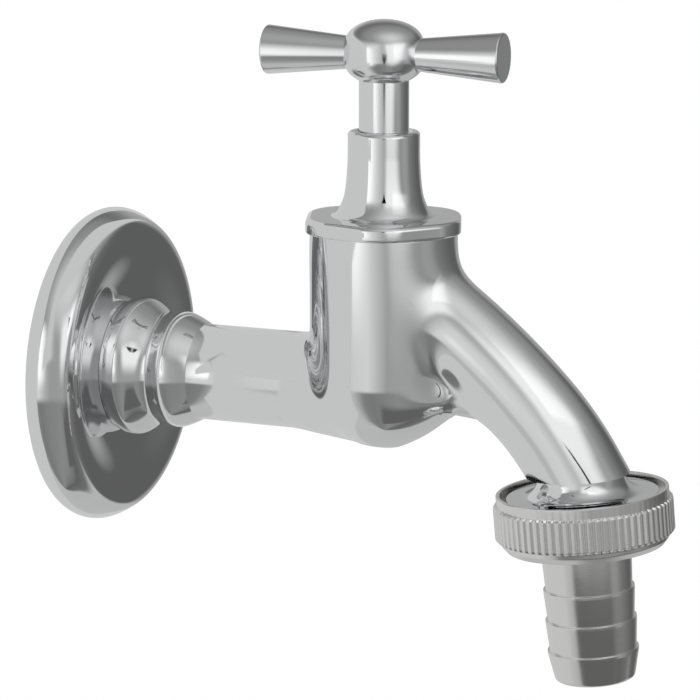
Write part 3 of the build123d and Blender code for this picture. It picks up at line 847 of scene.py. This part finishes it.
def handle():
    """Ball with its skirt, and the two tapered arms."""

    def outline(turn):
        """Point of the ball's outline, fuller than an ellipse, at a turn from its widest ring."""
        height = DOME_HEIGHT if turn > 0 else UNDER_HEIGHT
        rise = abs(sin(turn)) ** (2 / BALL_FULLNESS)
        return BALL_R * cos(turn), BALL_Z + (height if turn > 0 else -height) * rise

    under_end = acos(SKIRT_R / BALL_R)
    rises = [abs(t) * t for t in np.linspace(-sqrt(under_end), sqrt(pi / 2), 60)]
    under = [outline(t) for t in rises]
    skirt = [(4.0, 41.3, 0), (SKIRT_R, 41.3, 0.2), (*under[0], 0.12), (*under[1], 0)]
    ball = [(0, 41.3), *eased(skirt), *under[2:-1], (0, BALL_Z + DOME_HEIGHT)]
    hub = lathe(ball, **ALONG_SPINDLE)
    bmesh.ops.recalc_face_normals(hub, faces=hub.faces)
    drill = bmesh.new()
    back = Matrix.Rotation(radians(ARM_TURN), 4, "Z") @ Matrix.Rotation(-pi / 2, 4, "X")
    place = Matrix.Translation((SPINDLE_X, 0, ARM_Z)) @ back @ Matrix.Translation((0, 0, 8))
    bmesh.ops.create_cone(
        drill, cap_ends=True, segments=48, radius1=2.05, radius2=2.05, depth=8, matrix=place
    )
    hub = combined(hub, drill, "DIFFERENCE")
    finish_piece("handle_ball", hub, "handle", HANDLE_CHROME, ["handle_hub"], sharp=30.0)
    for side, node in ((1, "handle_arm_right"), (-1, "handle_arm_left")):
        a = radians(ARM_TURN)
        out = Vector((cos(a), sin(a), 0)) * side
        profile = eased(
            [
                (0, 4.3, 0),
                (1.9, 4.3, 0),
                (1.9, 5.9, 0),
                (2.9, 5.9, 0),
                (4.55, 22.7, 0.3),
                (1.5, 22.7, 0),
                (0, 22.7, 0),
            ]
        )
        arm = lathe(profile, (SPINDLE_X, 0, ARM_Z), out, (0, 0, 1), steps=128)
        finish_piece(f"arm_{node[11:]}", arm, "handle", HANDLE_CHROME, [node], sharp=40.0)


def union_nut():
    """Ring nut with a plain rim, a knurled band and a turned foot."""
    profile = eased(
        [
            (NUT_RIM_BORE_R, 2.0, 0),
            (NUT_RIM_BORE_R, 0.0, 0.15),
            (NUT_RIM_R, 0.0, 0.15),
            (NUT_RIM_R, KNURL_ENDS[0], 0),
            (KNURL_R - 0.3, KNURL_ENDS[0], 0.05),
            (KNURL_R, KNURL_ENDS[0] + 0.35, 0.1),
            (KNURL_R, KNURL_ENDS[1] - 0.35, 0.1),
            (KNURL_R - 0.3, KNURL_ENDS[1], 0.05),
            (15.35, 8.45, 0.05),
            (15.3, 9.2, 0.2),
            (14.4, 10.3, 0.2),
            (NUT_HOLE_R, 10.3, 0.1),
            (NUT_HOLE_R, 8.8, 0),
            (NUT_THREAD_R, 8.8, 0),
            (NUT_THREAD_R, 2.0, 0),
            (NUT_RIM_BORE_R, 2.0, 0),
        ],
        3,
    )
    mesh_bm = lathe(profile, **ALONG_OUTLET, steps=KNURLS * KNURL_STEPS)
    forward = OUTLET_DOWN.cross(OUTLET_SIDE)
    for vert in mesh_bm.verts:
        offset = vert.co - OUTLET_ORIGIN
        s = offset.dot(OUTLET_DOWN)
        across = offset - OUTLET_DOWN * s
        if not KNURL_ENDS[0] - 0.05 < s < KNURL_ENDS[1] + 0.2 or across.length < KNURL_FOOT_R:
            continue
        turn = atan2(across.dot(forward), across.dot(OUTLET_SIDE)) / tau * KNURLS
        phase = abs((turn % 1.0) - 0.5) * 2
        groove = min(1.0, max(0.0, (phase - 0.45) / 0.45))
        depth = min(KNURL_DEPTH, across.length - KNURL_FOOT_R) * groove
        vert.co -= across.normalized() * depth
    finish_piece("knurled_nut", mesh_bm, "nut", SATIN_NICKEL, ["union_nut"], sharp=25.0)


def hose_tail():
    """Barbed tail with its head inside the nut."""
    corners = [
        (TAIL_BORE_R, 7.25, 0),
        (TAIL_HEAD_R, 7.25, 0.1),
        (TAIL_HEAD_R, 8.75, 0.1),
        (8.2, 8.75, 0.2),
        (8.2, 12.4, 0),
    ]
    for k in range(BARBS):
        s = BARB_START + BARB_PITCH * k
        corners += [(BARB_FOOT_R, s, 0.1), (BARB_R, s, 0.05), (BARB_R, s + 0.5, 0.1)]
    corners += [(7.3, 35.25, 0.65), (TAIL_BORE_R, 35.25, 0.15), (TAIL_BORE_R, 7.25, 0)]
    mesh_bm = lathe(eased(corners), **ALONG_OUTLET)
    finish_piece("barbed_tail", mesh_bm, "tail", SATIN_NICKEL, ["hose_tail"], sharp=30.0)


def inner_parts():
    """The CAD pieces that stay, with their finishes."""
    finishes = {"brass": BRASS, "steel": STEEL, "seal_rubber": RUBBER, "fibre": FIBRE}
    for part in frame["record"]["subparts"]:
        material = finishes.get(part["material_slot"])
        if material:
            for slot in frame["nodes"][part["node"]].material_slots:
                slot.material = material


def stage_piece(name, mesh_bm, material):
    """Links a piece of the stage, which is no part of the tap."""
    mesh = bpy.data.meshes.new(name)
    mesh_bm.to_mesh(mesh)
    mesh_bm.free()
    mesh.materials.append(material)
    piece = bpy.data.objects.new(name, mesh)
    bpy.context.scene.collection.objects.link(piece)
    return piece


def soft_card(name, place, spread, rise, soft, level, lean):
    """Upright card round the spindle that only the metal mirrors; its light fades at its edges.

    place is (right, towards the camera) of the spindle, spread and rise are its ends
    across and up, soft the width of the fades at the left, right, bottom and top,
    and lean how far its left and right ends move to the left with height.
    """
    material = bpy.data.materials.new(name)
    nodes = Nodes(material)
    across, up, _ = nodes.split(nodes.coordinates("Object"))
    ends = [value * MM for value in (*spread, *rise)]
    left, right, bottom, top = (value * MM for value in soft)
    fade = (across + lean[0] * up).between(ends[0], ends[0] + left)
    fade = fade * (1 - (across + lean[1] * up).between(ends[1] - right, ends[1]))
    fade = fade * up.between(ends[2], ends[2] + bottom) * (1 - up.between(ends[3] - top, ends[3]))
    glow = nodes.add("ShaderNodeEmission", None, {"Color": (level, level, level, 1.0), "Strength": 1.0})
    clear = nodes.add("ShaderNodeBsdfTransparent")
    surface = nodes.add("ShaderNodeMixShader", None, {0: fade, 1: clear, 2: glow})
    nodes.add("ShaderNodeOutputMaterial", None, {"Surface": surface})
    mesh_bm = bmesh.new()
    outer = [end - slope * edge for end, slope in zip(ends[:2], lean) for edge in ends[2:]]
    middle = Matrix.Translation(((min(outer) + max(outer)) / 2, (ends[2] + ends[3]) / 2, 0))
    shape = Matrix.Diagonal((max(outer) - min(outer), ends[3] - ends[2], 1, 1))
    bmesh.ops.create_grid(mesh_bm, x_segments=1, y_segments=1, size=0.5, matrix=middle @ shape)
    card = stage_piece(name, mesh_bm, material)
    a = radians(CAMERA_AZIMUTH)
    to_right, to_camera = Vector((cos(a), sin(a), 0)), Vector((sin(a), -cos(a), 0))
    out = to_right * place[0] + to_camera * place[1]
    aside = Vector((-out.y, out.x, 0)).normalized()
    turn = Matrix((aside, (0, 0, 1), aside.cross((0, 0, 1)))).transposed().to_4x4()
    card.matrix_world = Matrix.Translation((Vector((SPINDLE_X, 0, 0)) + out) * MM) @ turn
    for ray in ("camera", "diffuse", "transmission", "volume_scatter", "shadow"):
        setattr(card, f"visible_{ray}", False)


def ground():
    """Plain white floor, hidden from the metal, which sees the tent's paper below it instead."""
    material = bpy.data.materials.new("white_floor")
    nodes = Nodes(material)
    surface = nodes.add("ShaderNodeBsdfDiffuse", None, {"Color": (1.0, 1.0, 1.0, 1.0)})
    nodes.add("ShaderNodeOutputMaterial", None, {"Surface": surface})
    mesh_bm = bmesh.new()
    place = Matrix.Translation((0, 0, FLOOR_Z))
    bmesh.ops.create_grid(mesh_bm, x_segments=1, y_segments=1, size=4.0, matrix=place)
    floor = stage_piece("floor", mesh_bm, material)
    floor.visible_glossy = False


def studio():
    """World: white behind the object, and the walls, paper and roof of a light tent for the metal."""
    world = bpy.data.worlds.new("light_tent")
    bpy.context.scene.world = world
    nodes = Nodes(world)
    x, y, z = nodes.split(nodes.coordinates("Generated"))
    a = radians(CAMERA_AZIMUTH)
    towards = x * sin(a) - y * cos(a)
    right = x * cos(a) + y * sin(a)
    turn = right.sum("ARCTAN2", right, towards) * (1 / tau) + 0.5
    rise = z.sum("ARCSINE", z) * (180 / pi)

    def ramp(stops, across):
        return nodes.add("ShaderNodeValToRGB", {"stops": stops}, {0: across})

    def round_about(stops):
        return ramp([((angle + 180) / 360, level) for angle, level in stops], turn)

    walls, paper, sunk = map(round_about, (WALL_LIGHT, PAPER_LIGHT, PAPER_SINKS))
    aside, lift = map(radians, LIT_SIDE)
    nearness = right * (sin(aside) * cos(lift)) + towards * (cos(aside) * cos(lift)) + z * sin(lift)
    roof = ramp(ROOF_LIGHT, nearness)
    tent = walls + (roof - walls) * rise.between(*ROOF_EDGE)
    seen = paper + (tent - paper) * (rise + PAPER_SINK * sunk).between(*PAPER_EDGE)
    path = nodes.add("ShaderNodeLightPath")
    glossy_ray = Wire(nodes, path.socket.node.outputs["Is Glossy Ray"])
    level = glossy_ray * seen + (1 - glossy_ray)
    background = nodes.add("ShaderNodeBackground", None, {"Color": level, "Strength": 1.0})
    nodes.add("ShaderNodeOutputWorld", None, {"Surface": background})
    for card in LIGHT_CARDS:
        soft_card(*card)


def camera():
    """The photograph's viewpoint."""
    a, e = radians(CAMERA_AZIMUTH), radians(CAMERA_ELEVATION)
    back = Vector((sin(a) * cos(e), -cos(a) * cos(e), sin(e)))
    data = bpy.data.cameras.new("camera")
    data.lens = CAMERA_LENS
    data.sensor_width = 36.0
    data.shift_x, data.shift_y = CAMERA_SHIFT
    data.clip_start, data.clip_end = 0.01, 10.0
    view = bpy.data.objects.new("camera", data)
    view.location = (Vector(CAMERA_TARGET) + back * CAMERA_DISTANCE) * MM
    view.rotation_mode = "QUATERNION"
    view.rotation_quaternion = (-back).to_track_quat("-Z", "Y")
    bpy.context.scene.collection.objects.link(view)
    bpy.context.scene.camera = view


wall_flange()
inlet_tail()
body_casting()
bonnet()
handle()
union_nut()
hose_tail()
inner_parts()
ground()
studio()
camera()
bpy.context.scene.view_settings.view_transform = "Standard"
